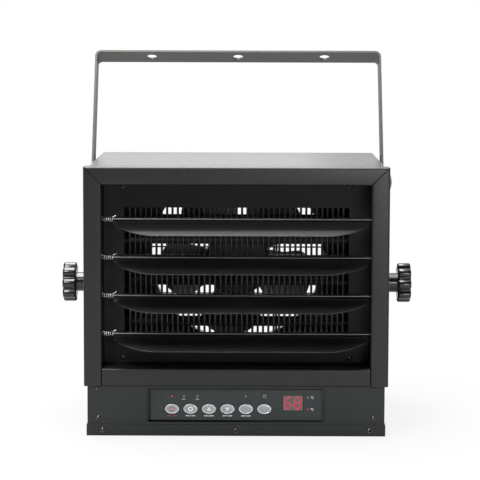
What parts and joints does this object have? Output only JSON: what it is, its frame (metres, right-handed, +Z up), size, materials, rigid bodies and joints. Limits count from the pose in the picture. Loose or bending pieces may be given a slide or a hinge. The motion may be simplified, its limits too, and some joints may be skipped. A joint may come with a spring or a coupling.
{
  "type": "ceiling mounted fan heater",
  "caption": "Box-shaped electric fan heater with tilting front louvers, a recessed button panel and a U-shaped tilting ceiling bracket.",
  "frame": {"origin": "centre of the case's flat underside", "axes": "+Z up, the louvers and the control panel face -Y, +X to the right as seen from the front"},
  "size_m": [0.441, 0.3357, 0.4619],
  "materials": {
    "case_paint": "satin charcoal powder coat",
    "frame_paint": "satin charcoal powder coat",
    "inner_paint": "matt black powder coat",
    "louver_paint": "satin black powder coat",
    "bracket_paint": "satin grey powder coat",
    "guard_paint": "satin black coat on wire",
    "element_sheath": "blackened steel sheath",
    "bare_steel": "galvanised sheet",
    "zinc_steel": "zinc plated",
    "rod_steel": "blackened rod",
    "spring_steel": "bright spring wire",
    "screw_black": "black oxide",
    "fan_aluminium": "dull rolled sheet",
    "motor_paint": "black enamel",
    "knob_plastic": "glossy black",
    "panel_plastic": "fine satin foil",
    "button_plastic": "silver",
    "lamp_plastic": "tinted clear",
    "display_plastic": "tinted clear",
    "circuit_board": "solder mask",
    "relay_plastic": "moulded",
    "terminal_plastic": "moulded"
  },
  "bodies": {
    "case": {"case_shell": "case_paint", "rear_panel": "case_paint", "bottom_pan": "case_paint", "control_plate": "case_paint", "control_bezel": "panel_plastic", "indicator_lamps": "lamp_plastic", "display_module": "display_plastic", "receiver_window": "display_plastic", "control_board": "circuit_board", "power_relays": "relay_plastic", "terminal_block": "terminal_plastic", "partition_shelf": "bare_steel", "frame_top_rail": "frame_paint", "frame_left_stile": "frame_paint", "frame_right_stile": "frame_paint", "frame_bottom_rail": "frame_paint", "inner_baffle": "inner_paint", "guard_grille": "guard_paint", "upper_elements": "element_sheath", "lower_elements": "element_sheath", "element_bracket_left": "bare_steel", "element_bracket_right": "bare_steel", "limit_thermostat": "terminal_plastic", "motor": "motor_paint", "motor_bracket": "bare_steel", "rear_guard": "guard_paint", "pivot_nuts": "zinc_steel", "pivot_spacers": "knob_plastic", "cable_gland": "knob_plastic", "side_plug": "knob_plastic", "plate_screws": "screw_black", "base_screws": "screw_black", "baffle_screws": "screw_black", "rear_screws": "screw_black"},
    "ceiling_bracket": {"bracket": "bracket_paint", "knob_washers": "zinc_steel"},
    "left_knob": {"knob_left": "knob_plastic", "knob_stud_left": "zinc_steel"},
    "right_knob": {"knob_right": "knob_plastic", "knob_stud_right": "zinc_steel"},
    "louver_1": {"louver_blade_1": "louver_paint", "louver_rod_1": "rod_steel", "louver_spring_1": "spring_steel"},
    "louver_2": {"louver_blade_2": "louver_paint", "louver_rod_2": "rod_steel", "louver_spring_2": "spring_steel"},
    "louver_3": {"louver_blade_3": "louver_paint", "louver_rod_3": "rod_steel", "louver_spring_3": "spring_steel"},
    "louver_4": {"louver_blade_4": "louver_paint", "louver_rod_4": "rod_steel", "louver_spring_4": "spring_steel"},
    "fan_rotor": {"fan": "fan_aluminium", "motor_shaft": "zinc_steel"},
    "key_1": {"button_1": "button_plastic"},
    "key_2": {"button_2": "button_plastic"},
    "key_3": {"button_3": "button_plastic"},
    "key_4": {"button_4": "button_plastic"},
    "key_5": {"button_5": "button_plastic"},
    "key_6": {"button_6": "button_plastic"}
  },
  "joints": [
    {"name": "bracket_tilt", "type": "hinge", "parent": "case", "child": "ceiling_bracket", "pos_m": [0, 0.006, 0.17], "axis": [1, 0, 0], "range_deg": [-62, 58]},
    {"name": "left_knob_turn", "type": "hinge", "parent": "case", "child": "left_knob", "pos_m": [-0.2, 0.006, 0.17], "axis": [-1, 0, 0], "range_deg": [0, 360]},
    {"name": "right_knob_turn", "type": "hinge", "parent": "case", "child": "right_knob", "pos_m": [0.2, 0.006, 0.17], "axis": [1, 0, 0], "range_deg": [0, 360]},
    {"name": "louver_1_tilt", "type": "hinge", "parent": "case", "child": "louver_1", "pos_m": [0, -0.1245, 0.26225], "axis": [1, 0, 0], "range_deg": [-35, 55]},
    {"name": "louver_2_tilt", "type": "hinge", "parent": "case", "child": "louver_2", "pos_m": [0, -0.1245, 0.21575], "axis": [1, 0, 0], "range_deg": [-35, 55]},
    {"name": "louver_3_tilt", "type": "hinge", "parent": "case", "child": "louver_3", "pos_m": [0, -0.1245, 0.16925], "axis": [1, 0, 0], "range_deg": [-35, 55]},
    {"name": "louver_4_tilt", "type": "hinge", "parent": "case", "child": "louver_4", "pos_m": [0, -0.1245, 0.12275], "axis": [1, 0, 0], "range_deg": [-35, 38]},
    {"name": "fan_spin", "type": "hinge", "parent": "case", "child": "fan_rotor", "pos_m": [0, 0.0875, 0.1925], "axis": [0, 1, 0], "continuous": true},
    {"name": "key_1_press", "type": "slide", "parent": "case", "child": "key_1", "axis": [0, 1, 0], "range_m": [0, 0.001], "stiffness_N_per_m": 500},
    {"name": "key_2_press", "type": "slide", "parent": "case", "child": "key_2", "axis": [0, 1, 0], "range_m": [0, 0.001], "stiffness_N_per_m": 500},
    {"name": "key_3_press", "type": "slide", "parent": "case", "child": "key_3", "axis": [0, 1, 0], "range_m": [0, 0.001], "stiffness_N_per_m": 500},
    {"name": "key_4_press", "type": "slide", "parent": "case", "child": "key_4", "axis": [0, 1, 0], "range_m": [0, 0.001], "stiffness_N_per_m": 500},
    {"name": "key_5_press", "type": "slide", "parent": "case", "child": "key_5", "axis": [0, 1, 0], "range_m": [0, 0.001], "stiffness_N_per_m": 500},
    {"name": "key_6_press", "type": "slide", "parent": "case", "child": "key_6", "axis": [0, 1, 0], "range_m": [0, 0.001], "stiffness_N_per_m": 500}
  ]
}
